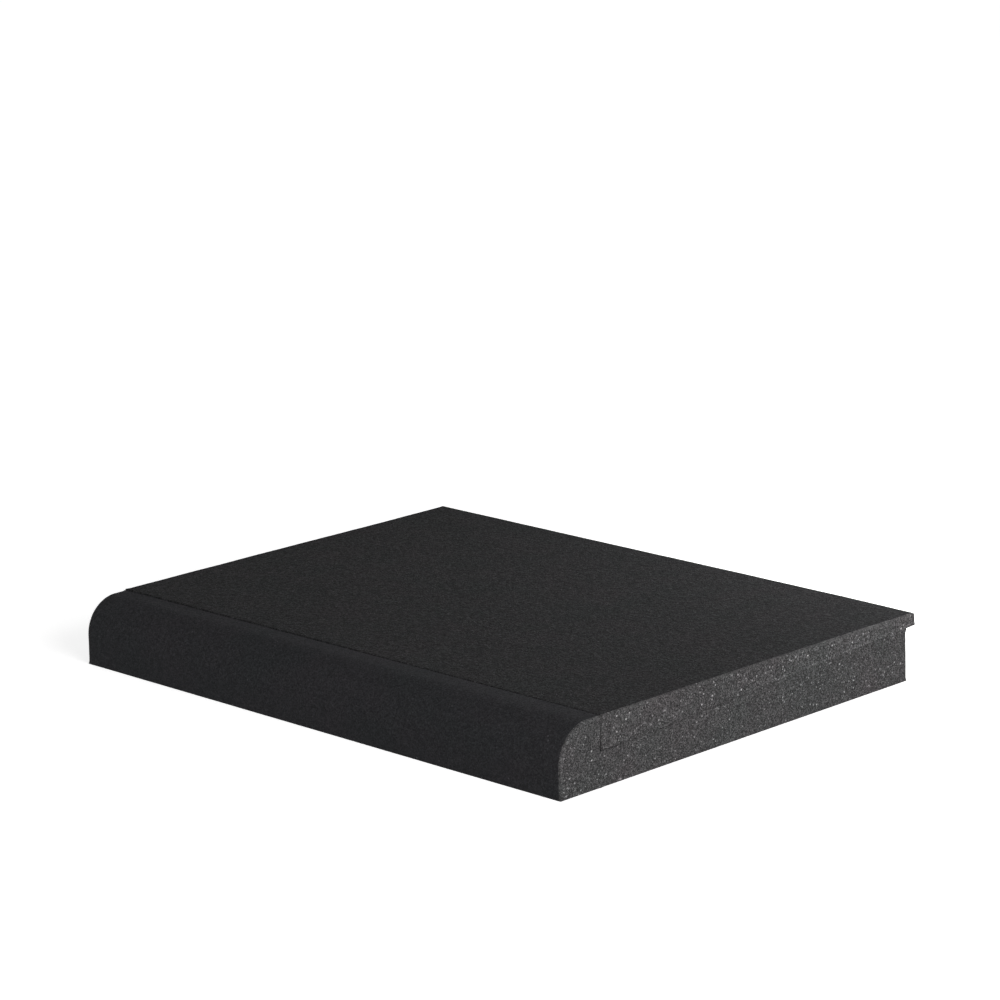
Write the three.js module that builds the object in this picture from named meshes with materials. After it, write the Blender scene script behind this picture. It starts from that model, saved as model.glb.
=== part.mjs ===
// Speaker isolation pad in two pieces of charcoal acoustic foam, in millimetres, +Z up.
// A base with a rounded front has a ramped recess behind its lip. A loose wedge lies on the ramp with
// its thick end to the front, which makes the top level. Turned round, it tilts what stands on it.
// +X runs along the width, +Y from the rounded front to the rear. The origin is the middle of the
// whole outline, on the surface that the pad stands on.
import * as THREE from 'three';

// base
const padWidth = 380;
const baseDepth = 286;
const lipHeight = 39;
const lipDepth = 31.5;
const noseRadius = 21.4;

// recess: a square step down behind the lip, then a ramp that rises to the rear face
const rampFrontHeight = 19.3;
const rampRearHeight = 32.2;

// wedge: its top stands a little proud of the lip, and its thin end reaches past the base
const topStep = 0.5;
const tailReach = 7.4;

// clearances of the wedge over the ramp and behind the step
const rampClearance = 0.3;
const stepClearance = 0.4;

// soft edges that the cutting leaves on the foam
const outerEdgeRadius = 1;
const recessEdgeRadius = 0.7;
const recessCornerRadius = 0.4;
const rimRadius = 0.4;

// smoothness of the arcs
const arcSteps = 8;
const rimSteps = 3;

const foam = { color: 0x3b3b3d, roughness: 1, metalness: 0 };

const rampSlope = (rampRearHeight - rampFrontHeight) / (baseDepth - lipDepth);

// Height of the ramp's plane at a distance from the front face.
function rampHeight(y) {
  return rampFrontHeight + (y - lipDepth) * rampSlope;
}

// An outline through corners given as [y, z, radius], each one rounded by an arc that touches both
// of its sides. The sides are the straight lines between the arcs.
function roundedOutline(corners) {
  const outline = new THREE.Shape();
  corners.forEach(([y, z, radius], index) => {
    const [beforeY, beforeZ] = corners.at(index - 1);
    const [afterY, afterZ] = corners[(index + 1) % corners.length];
    const before = new THREE.Vector2(beforeY - y, beforeZ - z).normalize();
    const after = new THREE.Vector2(afterY - y, afterZ - z).normalize();
    const halfAngle = before.angleTo(after) / 2;
    const setBack = radius / Math.tan(halfAngle);
    const centre = before.clone().add(after).setLength(radius / Math.sin(halfAngle));
    const startAngle = before.clone().multiplyScalar(setBack).sub(centre).angle();
    const endAngle = after.clone().multiplyScalar(setBack).sub(centre).angle();
    const isInnerCorner = before.cross(after) > 0;
    outline.absarc(y + centre.x, z + centre.y, radius, startAngle, endAngle, isInnerCorner);
  });
  return outline;
}

// A foam block: a side outline in Y and Z, carried across the width, with softened rims at both ends.
function foamBlock(name, outline) {
  const geometry = new THREE.ExtrudeGeometry(outline, {
    depth: padWidth - 2 * rimRadius,
    curveSegments: arcSteps,
    bevelEnabled: true,
    bevelThickness: rimRadius,
    bevelSize: rimRadius,
    bevelOffset: -rimRadius,
    bevelSegments: rimSteps,
  });
  const block = new THREE.Mesh(geometry, new THREE.MeshStandardMaterial(foam));
  block.name = name;
  block.position.z = rimRadius;
  return block;
}

function makeBase() {
  const largestNose = Math.min(lipDepth - recessEdgeRadius, lipHeight - outerEdgeRadius);
  return foamBlock('base_pad', roundedOutline([
    [0, 0, outerEdgeRadius],
    [baseDepth, 0, outerEdgeRadius],
    [baseDepth, rampRearHeight, outerEdgeRadius],
    [lipDepth, rampFrontHeight, recessCornerRadius],
    [lipDepth, lipHeight, recessEdgeRadius],
    [0, lipHeight, Math.min(noseRadius, largestNose)],
  ]));
}

// Both ends of the wedge are cut square to its sloping underside, so they lean forward at the top.
function makeWedge() {
  const topHeight = lipHeight + topStep;
  const frontTop = lipDepth + stepClearance;
  const rearTop = baseDepth + tailReach;
  const footOfSquareCut = (topY) => {
    const drop = topHeight - rampHeight(topY) - rampClearance;
    const fall = drop / (1 + rampSlope ** 2);
    return [topY + fall * rampSlope, topHeight - fall];
  };
  return foamBlock('wedge_insert', roundedOutline([
    [...footOfSquareCut(frontTop), recessEdgeRadius],
    [...footOfSquareCut(rearTop), recessEdgeRadius],
    [rearTop, topHeight, recessEdgeRadius],
    [frontTop, topHeight, recessEdgeRadius],
  ]));
}

// The outlines' own axes, turned so that they lie in Y and Z and run across X.
const section = new THREE.Group();
const outlineToPad = new THREE.Matrix4().makeBasis(
  new THREE.Vector3(0, 1, 0),
  new THREE.Vector3(0, 0, 1),
  new THREE.Vector3(1, 0, 0),
);
section.quaternion.setFromRotationMatrix(outlineToPad);
section.add(makeBase(), makeWedge());

const group = new THREE.Group();
const box = new THREE.Box3().setFromObject(section);
section.position.set(-padWidth / 2, -(box.min.y + box.max.y) / 2, -box.min.z);
group.add(section);

export default group;
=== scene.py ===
"""Looks of a speaker isolation pad: a base and a loose wedge of charcoal open-cell foam, in metres.

Each piece is one side outline in Y and Z, carried across the width in X, with softened edges and the
slight unevenness of cut foam. The faces round the outline are finer and darker than the sawn ends.
"""
from math import ceil, cos, inf, pi, radians, sin, sqrt, tan

import bpy
from mathutils import Matrix, Vector, noise
from mathutils.geometry import delaunay_2d_cdt


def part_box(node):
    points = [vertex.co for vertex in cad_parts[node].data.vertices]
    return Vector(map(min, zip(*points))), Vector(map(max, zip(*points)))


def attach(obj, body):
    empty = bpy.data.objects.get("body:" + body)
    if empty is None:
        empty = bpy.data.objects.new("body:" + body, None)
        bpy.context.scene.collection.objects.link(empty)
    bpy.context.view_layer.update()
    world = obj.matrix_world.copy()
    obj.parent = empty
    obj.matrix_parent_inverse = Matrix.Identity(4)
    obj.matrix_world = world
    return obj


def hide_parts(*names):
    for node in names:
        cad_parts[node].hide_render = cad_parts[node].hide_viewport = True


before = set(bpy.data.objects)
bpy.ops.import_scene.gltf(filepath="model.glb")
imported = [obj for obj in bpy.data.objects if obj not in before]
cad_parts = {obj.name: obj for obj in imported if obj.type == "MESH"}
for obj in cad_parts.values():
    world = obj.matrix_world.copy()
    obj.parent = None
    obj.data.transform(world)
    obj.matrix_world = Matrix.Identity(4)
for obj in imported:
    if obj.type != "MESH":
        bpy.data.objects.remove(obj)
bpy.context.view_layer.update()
MM = 0.001

# the unevenness is drawn from noise that starts from the clock unless it is seeded
NOISE_SEED = 1
noise.seed_set(NOISE_SEED)

# where the frame's two pieces stand
BASE_LOW, BASE_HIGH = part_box("base_pad")
WEDGE_LOW, WEDGE_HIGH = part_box("wedge_insert")
FRONT_Y = BASE_LOW.y
REAR_Y = BASE_HIGH.y
TAIL_Y = WEDGE_HIGH.y
LIP_TOP = BASE_HIGH.z
LEVEL_TOP = WEDGE_HIGH.z
LEFT_X = BASE_LOW.x
RIGHT_X = BASE_HIGH.x

# the base's main sizes, as on the part itself
STEP_CLEARANCE = 0.4 * MM
STEP_Y = WEDGE_LOW.y - STEP_CLEARANCE
RAMP_FRONT = 19.3 * MM
RAMP_REAR = 32.2 * MM
RAMP_SLOPE = (RAMP_REAR - RAMP_FRONT) / (REAR_Y - STEP_Y)
NOSE_RADIUS = 21.4 * MM

# radii of the outlines' other corners, some softer or sharper than on the part
FLOOR_EDGE = 0.3 * MM
OUTER_EDGE = 1.0 * MM
SEAM_EDGE = 0.6 * MM
INNER_EDGE = 0.6 * MM
CORNER_RADIUS = 0.4 * MM

# rims between the faces and the sawn ends: the full radius, the share of it that is left where the
# pieces meet and on the floor, what the thin tail loses, and the room towards an outer corner
RIM_RADIUS = 1.6 * MM
SNUG_SHARE = 0.08
SNUG_REACH = 1.3 * MM
FLOOR_SHARE = 0.25
TAIL_LOSS = 0.65
CORNER_ROOM = 0.85

# how the soft wedge lies behind the step: tight at the top, and open below a share of its height
SEAM_GAP_LEFT = 0.12 * MM
SEAM_GAP_RIGHT = 0.21 * MM
SEAM_OPEN_SHARE = 0.62
SEAM_OPENING = 0.75 * MM
SEAM_OPENING_RATE = 1.6
SEAM_SHAPE_DEPTH = 12 * MM

# how it lies on the ramp: a little off it at the foot, and down on it further back
RAMP_GAP_FRONT = 0.4 * MM
RAMP_GAP_REAR = 0.03 * MM
RAMP_GAP_LENGTH = 30 * MM

# its rear half lies a little to the right, and its tail is a little short and leans
WEDGE_SHIFT_START = -30 * MM
WEDGE_SHIFT_END = 90 * MM
WEDGE_SHIFT = 0.5 * MM
TAIL_INSET = 0.6 * MM
TAIL_LEAN = 0.1 * MM

# the step's face stands further forward at its foot and at its left end
STEP_SHIFT_LEFT = -1.7 * MM
STEP_SHIFT_RIGHT = -0.1 * MM
STEP_SHIFT_FOOT = -1.8 * MM

# the ramp swells at its foot and sags further back
FOOT_RISE = 0.9 * MM
FOOT_REACH = 50 * MM
RAMP_SINK = 0.3 * MM

# the lip isn't quite level: lower at the left end and higher at the right
LIP_RISE_LEFT = -0.2 * MM
LIP_RISE_RIGHT = 0.4 * MM

# the base's rear face leans, its foot further back, and the wedge's free corner hangs a little
REAR_REACH = 0.4 * MM
REAR_LEAN = 0.9 * MM
REAR_SHAPE_DEPTH = 25 * MM
CORNER_DROOP = 0.4 * MM
DROOP_REACH = 60 * MM

# unevenness of the cut foam: (wavelength, amplitude) of each slow layer, then the edges' and the ends'
WARPS = ((80 * MM, 0.14 * MM), (18 * MM, 0.06 * MM))
FLAT_BOTTOM_HEIGHT = 4 * MM
EDGE_WAVE = 2.6 * MM
EDGE_DEPTH = 0.09 * MM
CAP_WAVE = 1.7 * MM
CAP_DEPTH = 0.12 * MM

# spacing of the meshes' points
FACE_PITCH = 2.0 * MM
WIDTH_PITCH = 3.4 * MM
CAP_PITCH = 1.0 * MM
CAP_ROW_PITCH = CAP_PITCH * sqrt(3) / 2
CAP_CLEARANCE = 0.6 * CAP_PITCH
ARC_PITCH = 0.8 * MM
SMALL_ARC_STEPS = 4
RIM_STEPS = 4

# settings of the triangulation: triangles inside the ring only, and the distance at which points merge
INSIDE_ONLY = 1
MERGE_DISTANCE = 1e-9

# each block's materials, by number
FACES, ENDS, RIMS = range(3)

# foam colours, and two faint tints that take turns over the surface
FACE_COLOR = (0.0280, 0.0280, 0.0302)
# the wedge's faces are darker than the base's: partly their own tone and partly painted shade
SHADED_TOP_COLOR = (0.0238, 0.0237, 0.0245)
END_COLOR = (0.0530, 0.0516, 0.0524)
# the rims' colours, lighter than the ends': a painted highlight along the rounded edges
RIM_HIGHLIGHT_COLOR = (0.0650, 0.0636, 0.0646)
WEDGE_RIM_HIGHLIGHT_COLOR = (0.0590, 0.0576, 0.0584)
COOL_TINT = (0.975, 1.012, 1.0)
WARM_TINT = (1.025, 0.988, 1.0)
TINT_REACH = 0.3

# how each kind of cut looks: its cells' size, how uneven its tone is, its painted glints and its bumps
FRONT_CUT = {
    "cell": 1.0 * MM, "clumps": 0.35, "contrast": 0.45, "glint_share": 0.006, "glint_gain": 1.5, "relief": 0.45,
}
TOP_CUT = {
    "cell": 1.15 * MM, "clumps": 0.5, "contrast": 0.92, "glint_share": 0.01, "glint_gain": 1.5, "relief": 0.7,
}
END_CUT = {
    "cell": 0.75 * MM, "clumps": 0.12, "contrast": 1.5, "glint_share": 0.1, "glint_gain": 3.8, "relief": 0.8,
}
RIM_CUT = {
    "cell": 0.75 * MM, "clumps": 0.12, "contrast": 1.1, "glint_share": 0.05, "glint_gain": 3.0, "relief": 0.5,
}

# grain of every cut: sizes in cells, and each layer's share of the tone
GRAIN_SIZE = 0.7
CLUMP_SIZE = 2.6
MOTTLE_SIZE = 40 * MM
NOISE_ROUGHNESS = 0.6
CELL_SHARE = 0.9
GRAIN_SHARE = 0.9
MOTTLE_SHARE = 0.10

# painted glints, small painted highlights in the colour: their spacing, the share of the picked ones that
# are at full strength, the distances at which one starts to fade and ends, and how few of them are strong
GLINT_PITCH = 1.4 * MM
GLINT_FULL_SHARE = 0.9
GLINT_CORE = 0.3
GLINT_REACH = 0.5
GLINT_POWER = 1.5

# surface: roughness in low and high grain, a faint gloss, and the bumps' layers and depth in cells
LOW_ROUGHNESS = 1.0
HIGH_ROUGHNESS = 0.78
SPECULAR_LEVEL = 0.04
GRAIN_RELIEF = 0.7
CLUMP_RELIEF = 1.2
RELIEF_DEPTH = 0.4

# the wedge's sawn ends: painted light that makes them lighter towards the tail, and a painted highlight in
# a line along the lower edge
TAIL_LIGHT_REACH = (15 * MM, 95 * MM)
TAIL_LIGHT_GAIN = 0.17
HIGHLIGHT_LINE_REACH = (-10 * MM, 40 * MM)
HIGHLIGHT_LINE_HEIGHTS = (0.9 * MM, 1.9 * MM)
HIGHLIGHT_LINE_GAIN = 0.30

# numbers of a colour mix's sockets, whose names aren't unique
MIX_FIRST = 6
MIX_SECOND = 7
MIX_RESULT = 2

# camera, from the photograph's own view
VIEW_YAW = radians(44.443)
VIEW_PITCH = radians(14.071)
VIEW_ROLL = radians(-0.922)
CAMERA_SPOT = (1.4593, -1.4824, 0.6233)
FOCAL_PIXELS = 3752
FRAME_PIXELS = 1000
SENSOR_MM = 36

# studio: a pale floor and world that the camera sees as white, and round lights that face the object,
# each with its spot, diameter and power: a low key, a small one at the rear and a weak low one in front
FLOOR_REACH = 6.0
FLOOR_COLOR = (0.86, 0.86, 0.86, 1.0)
FLOOR_GLOW_NEAR = 0.72
FLOOR_GLOW_FAR = 0.87
NEAR_REACH = 0.35
FAR_REACH = 0.9
WORLD_LEVEL = 0.17
LIGHTS = {
    "key": (Vector((1.55, -0.35, 0.52)), 1.2, 23.5),
    "rear": (Vector((0.16, 0.36, 0.22)), 0.2, 1.0),
    "fill": (Vector((-0.9, -1.5, 0.28)), 0.8, 7.2),
}


def smooth_step(value):
    """0 below 0 and 1 above 1, with a soft rise between."""
    value = min(1.0, max(0.0, value))
    return value * value * (3 - 2 * value)


def between(left, right, x):
    """A value that runs evenly from the left end to the right end."""
    return left + (right - left) * (x - LEFT_X) / (RIGHT_X - LEFT_X)


def ramp_height(y):
    """Height of the ramp's plane."""
    return RAMP_FRONT + RAMP_SLOPE * (y - STEP_Y)


def corner_arc(before, corner, after, radius):
    """Points and outward normals of the arc that rounds a corner, and the room that it leaves for a rim."""
    before = (before - corner).normalized()
    after = (after - corner).normalized()
    half_angle = before.angle(after) / 2
    centre = corner + (before + after).normalized() * (radius / sin(half_angle))
    turn = 1.0 if before.cross(after) < 0 else -1.0
    first = (corner + before * (radius / tan(half_angle)) - centre) / radius
    sweep = (pi - 2 * half_angle) * turn
    steps = max(SMALL_ARC_STEPS, ceil(abs(sweep) * radius / ARC_PITCH))
    directions = [Matrix.Rotation(sweep * step / steps, 2) @ first for step in range(steps + 1)]
    arc = [(centre + direction * radius, direction * turn) for direction in directions]
    room = CORNER_ROOM * radius if turn > 0 else inf
    return arc, room


def rounded_outline(corners):
    """(point, outward normal, room for a rim) all round a closed outline of corners (y, z, radius).

    The corners run anticlockwise. A rim has less room towards an outer corner, where both sides bend in.
    """
    spots = [Vector((y, z)) for y, z, radius in corners]
    radii = [radius for y, z, radius in corners]
    arcs = []
    for index, (spot, radius) in enumerate(zip(spots, radii)):
        after = spots[(index + 1) % len(spots)]
        arcs.append(corner_arc(spots[index - 1], spot, after, radius))
    outline = []
    for index, (arc, room) in enumerate(arcs):
        outline += [(point, normal, room) for point, normal in arc]
        start, normal = arc[-1]
        next_arc, next_room = arcs[(index + 1) % len(arcs)]
        stop = next_arc[0][0]
        length = (stop - start).length
        steps = max(1, round(length / FACE_PITCH))
        for step in range(1, steps):
            along = length * step / steps
            side_room = min(room + CORNER_ROOM * along, next_room + CORNER_ROOM * (length - along))
            outline.append((start.lerp(stop, step / steps), normal, side_room))
    return outline


def base_outline():
    """The base's outline, from the foot of its front face round by the rear to the nose."""
    return rounded_outline([
        (FRONT_Y, 0.0, FLOOR_EDGE),
        (REAR_Y, 0.0, FLOOR_EDGE),
        (REAR_Y, RAMP_REAR, OUTER_EDGE),
        (STEP_Y, RAMP_FRONT, CORNER_RADIUS),
        (STEP_Y, LIP_TOP, SEAM_EDGE),
        (FRONT_Y, LIP_TOP, NOSE_RADIUS),
    ])


def wedge_outline():
    """The wedge's outline. Both ends are cut square to the sloping underside."""
    front = STEP_Y + SEAM_GAP_LEFT
    rear = TAIL_Y - TAIL_INSET
    corners = []
    for y in (front, rear):
        fall = (LEVEL_TOP - ramp_height(y) - RAMP_GAP_REAR) / (1 + RAMP_SLOPE * RAMP_SLOPE)
        corners.append((y + fall * RAMP_SLOPE, LEVEL_TOP - fall, INNER_EDGE))
    corners += [(rear, LEVEL_TOP, INNER_EDGE), (front, LEVEL_TOP, SEAM_EDGE)]
    return rounded_outline(corners)


def step_shift(point):
    """How far the step's face stands from its plain place at a point's width and height."""
    height = min(1.0, max(0.0, (point.z - RAMP_FRONT) / (LIP_TOP - RAMP_FRONT)))
    top = between(STEP_SHIFT_LEFT, STEP_SHIFT_RIGHT, point.x)
    return STEP_SHIFT_FOOT + (top - STEP_SHIFT_FOOT) * height


def ramp_rise(behind_step):
    """How far the ramp lies above its plane."""
    return FOOT_RISE * smooth_step(1 - behind_step / FOOT_REACH) - RAMP_SINK


def shape_base(point):
    """The base's own form: the step's lean, the ramp's rise, the lip's height and the rear's lean."""
    behind_step = point.y - STEP_Y
    shift = step_shift(point) * smooth_step(1 - abs(behind_step) / SEAM_SHAPE_DEPTH)
    lip_share = smooth_step((point.z - RAMP_FRONT) / (LIP_TOP - RAMP_FRONT))
    if behind_step > -CORNER_RADIUS:
        ramp = ramp_height(point.y)
        point.z += ramp_rise(behind_step) * min(point.z / ramp, (LIP_TOP - point.z) / (LIP_TOP - ramp))
    if behind_step < CORNER_RADIUS:
        point.z += between(LIP_RISE_LEFT, LIP_RISE_RIGHT, point.x) * lip_share
    point.y += shift
    lean = REAR_REACH + REAR_LEAN * (1 - point.z / RAMP_REAR)
    point.y += lean * smooth_step(1 - (REAR_Y - point.y) / REAR_SHAPE_DEPTH)


def shape_wedge(point):
    """The wedge's own lie in the recess: its front end, its underside, its tail and its side shift."""
    thickness = LEVEL_TOP - ramp_height(point.y)
    height = (point.z - ramp_height(point.y)) / thickness
    behind_step = point.y - STEP_Y
    below_tight = (SEAM_OPEN_SHARE - height) / SEAM_OPEN_SHARE
    opening = SEAM_OPENING * smooth_step(SEAM_OPENING_RATE * below_tight)
    wanted = between(SEAM_GAP_LEFT, SEAM_GAP_RIGHT, point.x) + opening
    square = SEAM_GAP_LEFT + RAMP_SLOPE * thickness * (1 - height)
    point.y += (wanted - square + step_shift(point)) * smooth_step(1 - behind_step / SEAM_SHAPE_DEPTH)
    lift = (RAMP_GAP_FRONT - RAMP_GAP_REAR) * smooth_step(1 - behind_step / RAMP_GAP_LENGTH)
    point.z += (lift + ramp_rise(behind_step)) * min(1.0, max(0.0, 1 - height))
    point.y += TAIL_LEAN * (1 - height) * smooth_step(1 - (TAIL_Y - point.y) / SEAM_SHAPE_DEPTH)
    point.z -= CORNER_DROOP * smooth_step(1 - (TAIL_Y - point.y + RIGHT_X - point.x) / DROOP_REACH)
    shift_share = (point.y - WEDGE_SHIFT_START) / (WEDGE_SHIFT_END - WEDGE_SHIFT_START)
    point.x += WEDGE_SHIFT * smooth_step(shift_share)


def rim_share(y, z):
    """How much of the full rim a point gets: less where the pieces meet, on the floor and at the tail."""
    on_step = abs(y - STEP_Y) < SNUG_REACH
    on_ramp = y > STEP_Y and abs(z - ramp_height(y)) < SNUG_REACH
    if on_step or on_ramp:
        return SNUG_SHARE
    if z < SNUG_REACH:
        return FLOOR_SHARE
    return 1 - TAIL_LOSS * smooth_step((y - REAR_Y) / (TAIL_Y - REAR_Y))


def warp(point):
    """One field of unevenness for both pieces, so that they stay clear of each other."""
    move = Vector((0.0, 0.0, 0.0))
    for wave, amplitude in WARPS:
        move += noise.noise_vector(point / wave) * amplitude
    move.z *= smooth_step(point.z / FLAT_BOTTOM_HEIGHT)
    return move


def stations():
    """(x, inset) across the width, the inset as a share of the rim: left rim, plain stretch, right rim."""
    angles = [pi / 2 * step / RIM_STEPS for step in range(RIM_STEPS)]
    rim = [(RIM_RADIUS * (1 - cos(angle)), 1 - sin(angle)) for angle in angles]
    plain = RIGHT_X - LEFT_X - 2 * RIM_RADIUS
    steps = round(plain / WIDTH_PITCH)
    row = [(LEFT_X + x, inset) for x, inset in rim]
    row += [(LEFT_X + RIM_RADIUS + plain * step / steps, 0.0) for step in range(steps + 1)]
    row += [(RIGHT_X - x, inset) for x, inset in reversed(rim)]
    return row


def outline_ring(outline, x, inset, shape):
    """The outline's points at one place across the width, shaped, warped and roughened."""
    ring = []
    for point, normal, room in outline:
        share = rim_share(point.x, point.y)
        depth = inset * min(RIM_RADIUS * share, room)
        place = Vector((x, point.x - normal.x * depth, point.y - normal.y * depth))
        rough = EDGE_DEPTH * share * noise.noise(place / EDGE_WAVE)
        shape(place)
        place += warp(place)
        at_floor = smooth_step(place.z / FLAT_BOTTOM_HEIGHT)
        place.y += normal.x * rough
        place.z += normal.y * rough * at_floor
        ring.append(place)
    return ring


def side_faces(count, strips):
    """Quads between rings of count vertices that follow each other across the width."""
    faces = []
    for first in range(0, strips * count, count):
        for i in range(count):
            j = (i + 1) % count
            faces.append((first + i, first + j, first + count + j, first + count + i))
    return faces


def crossings(ring, z):
    """Where a level line enters and leaves a closed ring, in pairs of y."""
    found = []
    for a, b in zip(ring, ring[1:] + ring[:1]):
        if (a.y <= z) != (b.y <= z):
            found.append(a.x + (b.x - a.x) * (z - a.y) / (b.y - a.y))
    found.sort()
    return list(zip(found[::2], found[1::2]))


def cap_points(ring):
    """A staggered lattice of points inside a closed ring, clear of its sides."""
    low = Vector((min(p.x for p in ring), min(p.y for p in ring)))
    rows = int((max(p.y for p in ring) - low.y) / CAP_ROW_PITCH)
    near = {}
    for p in ring:
        near.setdefault(int((p.x - low.x) / CAP_PITCH), []).append(p)
    inside = []
    for row in range(1, rows + 1):
        z = low.y + row * CAP_ROW_PITCH
        stagger = 0.5 * (row % 2)
        for start, stop in crossings(ring, z):
            column = ceil((start - low.x) / CAP_PITCH)
            while low.x + CAP_PITCH * (column + stagger) < stop:
                point = Vector((low.x + CAP_PITCH * (column + stagger), z))
                cell = int((point.x - low.x) / CAP_PITCH)
                neighbours = near.get(cell - 1, []) + near.get(cell, []) + near.get(cell + 1, [])
                if all((point - p).length > CAP_CLEARANCE for p in neighbours):
                    inside.append(point)
                column += 1
    return inside


def end_cap(vertices, first, count):
    """Adds points inside an end's ring, of count vertices from first on, and returns its triangles."""
    ring = [Vector((v.y, v.z)) for v in vertices[first:first + count]]
    edges = [(i, (i + 1) % count) for i in range(count)]
    filled = delaunay_2d_cdt(
        ring + cap_points(ring), edges, [list(range(count))], INSIDE_ONLY, MERGE_DISTANCE,
    )
    flat, _, triangles = filled[:3]
    x = sum(v.x for v in vertices[first:first + count]) / count
    added = len(vertices)
    for point in flat[count:]:
        place = Vector((x, point.x, point.y))
        place.x += CAP_DEPTH * noise.noise(place / CAP_WAVE)
        vertices.append(place)
    return [tuple(first + i if i < count else added + i - count for i in face) for face in triangles]


def sort_materials(mesh, count, strips):
    """Gives each face the number of its material. Faces come in strips of count, then the two ends."""
    for polygon in mesh.polygons:
        strip = polygon.index // count
        if strip >= strips:
            polygon.material_index = ENDS
        elif strip < RIM_STEPS or strip >= strips - RIM_STEPS:
            polygon.material_index = RIMS
        else:
            polygon.material_index = FACES


def foam_block(name, outline, shape, materials):
    """A closed block with its materials for the faces round the outline, the sawn ends and their rims."""
    count = len(outline)
    row = stations()
    strips = len(row) - 1
    vertices = []
    for x, inset in row:
        vertices += outline_ring(outline, x, inset, shape)
    right = end_cap(vertices, strips * count, count)
    left = [tuple(reversed(face)) for face in end_cap(vertices, 0, count)]
    mesh = bpy.data.meshes.new(name)
    mesh.from_pydata(vertices, [], side_faces(count, strips) + right + left)
    mesh.shade_smooth()
    sort_materials(mesh, count, strips)
    mesh.validate()
    for material in materials:
        mesh.materials.append(material)
    piece = bpy.data.objects.new(name, mesh)
    bpy.context.scene.collection.objects.link(piece)
    return piece


def feed(tree, socket, value):
    """A socket's value, from a number, a colour or another node's output."""
    if isinstance(value, bpy.types.NodeSocket):
        tree.links.new(value, socket)
    else:
        socket.default_value = value


def add_node(tree, kind, settings, inputs):
    """A new node with its settings, and its inputs by name or number."""
    node = tree.nodes.new(kind)
    for name, value in settings.items():
        setattr(node, name, value)
    for name, value in inputs.items():
        feed(tree, node.inputs[name], value)
    return node


def compute(tree, operation, *values):
    """One step of arithmetic on sockets and numbers."""
    inputs = dict(enumerate(values))
    return add_node(tree, "ShaderNodeMath", {"operation": operation}, inputs).outputs["Value"]


def spread(tree, value, low, high, to_low, to_high):
    """value carried from one range to another and held inside it."""
    limits = {"Value": value, "From Min": low, "From Max": high, "To Min": to_low, "To Max": to_high}
    return add_node(tree, "ShaderNodeMapRange", {"clamp": True}, limits).outputs["Result"]


def object_place(tree):
    """The point on the object that is being shaded."""
    return add_node(tree, "ShaderNodeTexCoord", {}, {}).outputs["Object"]


def noise_layer(tree, place, size, detail):
    """Noise about zero, most of it between -0.5 and 0.5."""
    inputs = {"Vector": place, "Scale": 1 / size, "Detail": detail, "Roughness": NOISE_ROUGHNESS}
    found = add_node(tree, "ShaderNodeTexNoise", {}, inputs).outputs["Fac"]
    return compute(tree, "MULTIPLY_ADD", found, 2.0, -1.0)


def cell_layer(tree, place, size):
    """Cells of a size: the distance from each one's middle, and two random values for each one."""
    inputs = {"Vector": place, "Scale": 1 / size}
    cells = add_node(tree, "ShaderNodeTexVoronoi", {"feature": "F1"}, inputs)
    parts = add_node(tree, "ShaderNodeSeparateColor", {}, {"Color": cells.outputs["Color"]})
    return cells.outputs["Distance"], parts.outputs["Red"], parts.outputs["Green"]


def glints(tree, place, share, gain):
    """A factor of 1, and more on small spots: painted glints, where a cell wall would catch the light."""
    distance, pick, strength = cell_layer(tree, place, GLINT_PITCH)
    picked = spread(tree, pick, 1.0 - share, 1.0 - GLINT_FULL_SHARE * share, 0.0, 1.0)
    close = spread(tree, distance, GLINT_CORE, GLINT_REACH, 1.0, 0.0)
    spot = compute(tree, "MULTIPLY", picked, close)
    spot = compute(tree, "MULTIPLY", spot, compute(tree, "POWER", strength, GLINT_POWER))
    return compute(tree, "MULTIPLY_ADD", spot, gain, 1.0)


def painted_tail_light(tree, place):
    """A factor of 1, and more as painted light towards the wedge's thin tail, and as a painted highlight in
    a line along its lower edge there.
    """
    parts = add_node(tree, "ShaderNodeSeparateXYZ", {}, {"Vector": place})
    y = parts.outputs["Y"]
    ramp = compute(tree, "MULTIPLY_ADD", y, RAMP_SLOPE, ramp_height(0.0) - RAMP_SINK)
    above_ramp = compute(tree, "SUBTRACT", parts.outputs["Z"], ramp)
    thin = spread(tree, y, *TAIL_LIGHT_REACH, 0.0, TAIL_LIGHT_GAIN)
    low = spread(tree, above_ramp, *HIGHLIGHT_LINE_HEIGHTS, HIGHLIGHT_LINE_GAIN, 0.0)
    line = compute(tree, "MULTIPLY", low, spread(tree, y, *HIGHLIGHT_LINE_REACH, 0.0, 1.0))
    return compute(tree, "ADD", compute(tree, "ADD", thin, line), 1.0)


def tinted_color(tree, color, mottle):
    """A colour that leans to the cool tint or the warm one as the mottle goes."""
    cool, warm = [(*[c * t for c, t in zip(color, tint)], 1.0) for tint in (COOL_TINT, WARM_TINT)]
    factor = spread(tree, mottle, -TINT_REACH, TINT_REACH, 0.0, 1.0)
    inputs = {"Factor": factor, MIX_FIRST: cool, MIX_SECOND: warm}
    return add_node(tree, "ShaderNodeMix", {"data_type": "RGBA"}, inputs).outputs[MIX_RESULT]


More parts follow.
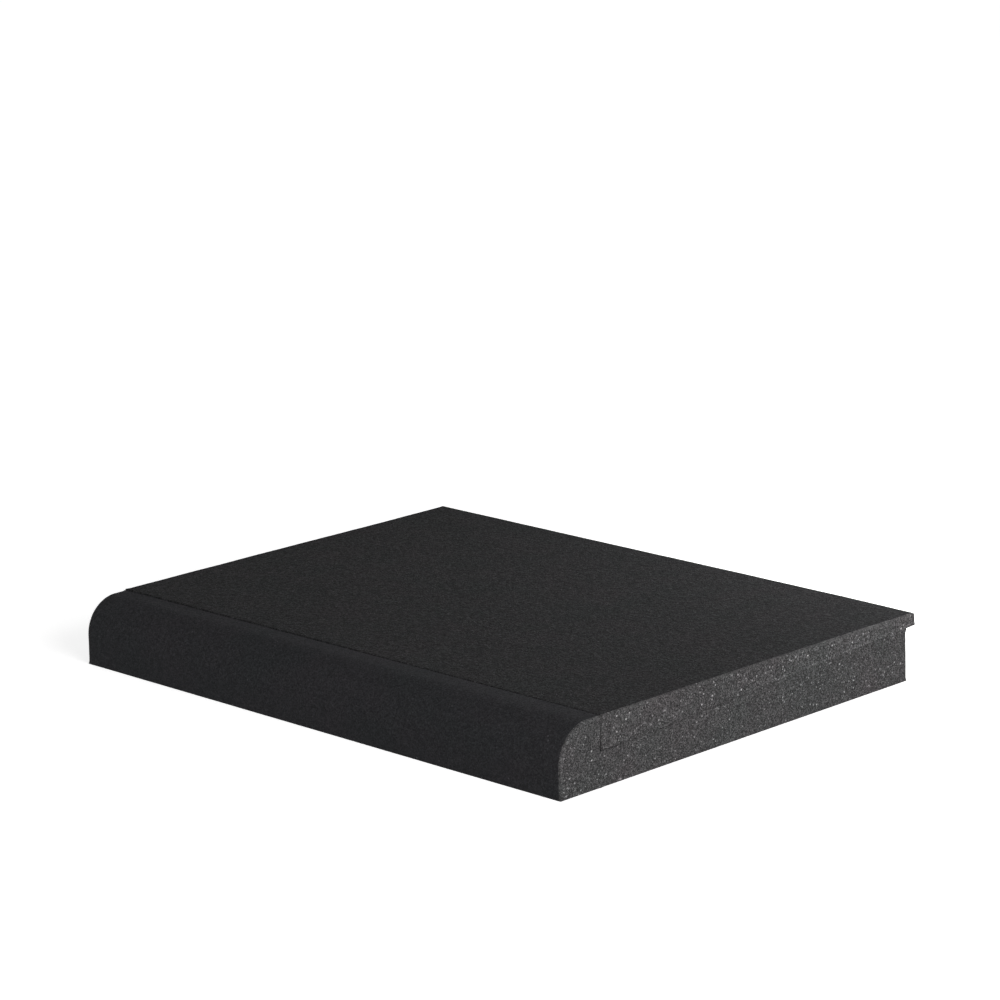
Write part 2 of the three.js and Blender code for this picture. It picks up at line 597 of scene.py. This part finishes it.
def foam_material(name, color, cut, tail_light=False):
    """Open-cell foam: cells and grain of uneven tone, small painted glints, and a rough cut surface; on the
    wedge's ends, if asked, also painted light towards the tail.
    """
    material = bpy.data.materials.new(name)
    material.use_nodes = True
    tree = material.node_tree
    shader = tree.nodes["Principled BSDF"]
    cell = cut["cell"]
    place = object_place(tree)
    distance, cell_tone, _ = cell_layer(tree, place, cell)
    grain = noise_layer(tree, place, GRAIN_SIZE * cell, detail=0.0)
    clumps = noise_layer(tree, place, CLUMP_SIZE * cell, detail=2.0)
    mottle = noise_layer(tree, place, MOTTLE_SIZE, detail=3.0)

    tone = compute(tree, "MULTIPLY_ADD", cell_tone, CELL_SHARE, -0.5 * CELL_SHARE)
    tone = compute(tree, "MULTIPLY_ADD", grain, GRAIN_SHARE, tone)
    tone = compute(tree, "MULTIPLY_ADD", clumps, cut["clumps"], tone)
    tone = compute(tree, "MULTIPLY", tone, cut["contrast"])
    tone = compute(tree, "MULTIPLY_ADD", mottle, MOTTLE_SHARE, tone)
    tone = compute(tree, "EXPONENT", tone)
    # painted glints: small painted highlights multiplied into the colour
    tone = compute(tree, "MULTIPLY", tone, glints(tree, place, cut["glint_share"], cut["glint_gain"]))
    # painted light towards the wedge's tail, and a painted highlight line along its lower edge
    if tail_light:
        tone = compute(tree, "MULTIPLY", tone, painted_tail_light(tree, place))
    toned = {0: tinted_color(tree, color, mottle), "Scale": tone}
    scaled = add_node(tree, "ShaderNodeVectorMath", {"operation": "SCALE"}, toned)
    feed(tree, shader.inputs["Base Color"], scaled.outputs["Vector"])

    roughness = spread(tree, grain, -0.5, 0.5, LOW_ROUGHNESS, HIGH_ROUGHNESS)
    feed(tree, shader.inputs["Roughness"], roughness)
    shader.inputs["Specular IOR Level"].default_value = SPECULAR_LEVEL
    height = compute(tree, "MULTIPLY", grain, GRAIN_RELIEF)
    height = compute(tree, "MULTIPLY_ADD", distance, -1.0, height)
    height = compute(tree, "MULTIPLY_ADD", clumps, CLUMP_RELIEF, height)
    bumps = {"Strength": cut["relief"], "Distance": RELIEF_DEPTH * cell, "Height": height}
    bump = add_node(tree, "ShaderNodeBump", {}, bumps)
    feed(tree, shader.inputs["Normal"], bump.outputs["Normal"])
    return material


def seen_directly(tree):
    """1 for rays that show the background itself, by eye, in a reflection or through glass."""
    rays = add_node(tree, "ShaderNodeLightPath", {}, {})
    seen = compute(tree, "MAXIMUM", rays.outputs["Is Camera Ray"], rays.outputs["Is Glossy Ray"])
    return compute(tree, "MAXIMUM", seen, rays.outputs["Is Transmission Ray"])


def floor_material():
    """A pale matt floor that glows where it is seen directly, a little less close to the object."""
    material = bpy.data.materials.new("white_floor")
    material.use_nodes = True
    tree = material.node_tree
    shader = tree.nodes["Principled BSDF"]
    shader.inputs["Base Color"].default_value = FLOOR_COLOR
    shader.inputs["Roughness"].default_value = 1.0
    shader.inputs["Specular IOR Level"].default_value = 0.0
    place = object_place(tree)
    reach = add_node(tree, "ShaderNodeVectorMath", {"operation": "LENGTH"}, {0: place}).outputs["Value"]
    level = spread(tree, reach, NEAR_REACH, FAR_REACH, FLOOR_GLOW_NEAR, FLOOR_GLOW_FAR)
    strength = compute(tree, "MULTIPLY", seen_directly(tree), level)
    glow = add_node(tree, "ShaderNodeEmission", {}, {"Strength": strength})
    layers = {0: shader.outputs["BSDF"], 1: glow.outputs["Emission"]}
    both = add_node(tree, "ShaderNodeAddShader", {}, layers)
    feed(tree, tree.nodes["Material Output"].inputs["Surface"], both.outputs["Shader"])
    return material


def white_floor():
    """A floor that the camera sees as white, with the object's soft shadow left on it."""
    mesh = bpy.data.meshes.new("floor")
    r = FLOOR_REACH
    mesh.from_pydata([(-r, -r, 0), (r, -r, 0), (r, r, 0), (-r, r, 0)], [], [(0, 1, 2, 3)])
    mesh.materials.append(floor_material())
    floor = bpy.data.objects.new("floor", mesh)
    bpy.context.scene.collection.objects.link(floor)


def white_world():
    """Soft light from all round, which the camera sees as plain white."""
    world = bpy.data.worlds.new("studio")
    world.use_nodes = True
    tree = world.node_tree
    sky = tree.nodes["Background"]
    sky.inputs["Color"].default_value = (1, 1, 1, 1)
    strength = compute(tree, "MULTIPLY_ADD", seen_directly(tree), 1.0 - WORLD_LEVEL, WORLD_LEVEL)
    feed(tree, sky.inputs["Strength"], strength)
    bpy.context.scene.world = world


def round_light(name, spot, size, power):
    """A round soft light that faces the object."""
    light = bpy.data.lights.new(name, "AREA")
    light.shape = "DISK"
    light.size = size
    light.energy = power
    lamp = bpy.data.objects.new(name, light)
    bpy.context.scene.collection.objects.link(lamp)
    lamp.visible_camera = False
    lamp.matrix_world = Matrix.Translation(spot) @ (-spot).to_track_quat("-Z", "Y").to_matrix().to_4x4()


def photo_camera():
    """The scene's camera, at the photograph's viewing angle."""
    data = bpy.data.cameras.new("camera")
    data.sensor_width = SENSOR_MM
    data.lens = FOCAL_PIXELS / FRAME_PIXELS * SENSOR_MM
    camera = bpy.data.objects.new("camera", data)
    bpy.context.scene.collection.objects.link(camera)
    camera.matrix_world = (
        Matrix.Translation(CAMERA_SPOT)
        @ Matrix.Rotation(VIEW_YAW, 4, "Z")
        @ Matrix.Rotation(pi / 2 - VIEW_PITCH, 4, "X")
        @ Matrix.Rotation(VIEW_ROLL, 4, "Z")
    )
    bpy.context.scene.camera = camera


base_foams = (
    foam_material("foam_front", FACE_COLOR, FRONT_CUT),
    foam_material("foam_ends", END_COLOR, END_CUT),
    # the rims' lighter colour is a painted highlight along the edges
    foam_material("foam_edges_painted_highlight", RIM_HIGHLIGHT_COLOR, RIM_CUT),
)
wedge_foams = (
    # the wedge's faces carry painted shade in their darker colour
    foam_material("foam_top_painted_shade", SHADED_TOP_COLOR, TOP_CUT),
    # the wedge's ends and rims get painted light towards the tail and a painted highlight line
    foam_material("foam_wedge_ends_painted_light", END_COLOR, END_CUT, tail_light=True),
    foam_material("foam_wedge_edges_painted_highlight", WEDGE_RIM_HIGHLIGHT_COLOR, RIM_CUT, tail_light=True),
)
base = foam_block("base_foam", base_outline(), shape_base, base_foams)
wedge = foam_block("wedge_foam", wedge_outline(), shape_wedge, wedge_foams)
for piece, node, slot in ((base, "base_pad", "base_foam"), (wedge, "wedge_insert", "wedge_foam")):
    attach(piece, "root")
    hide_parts(node)

photo_camera()
white_floor()
white_world()
for name, (spot, size, power) in LIGHTS.items():
    round_light(name, spot, size, power)

bpy.context.scene.view_settings.view_transform = "Standard"
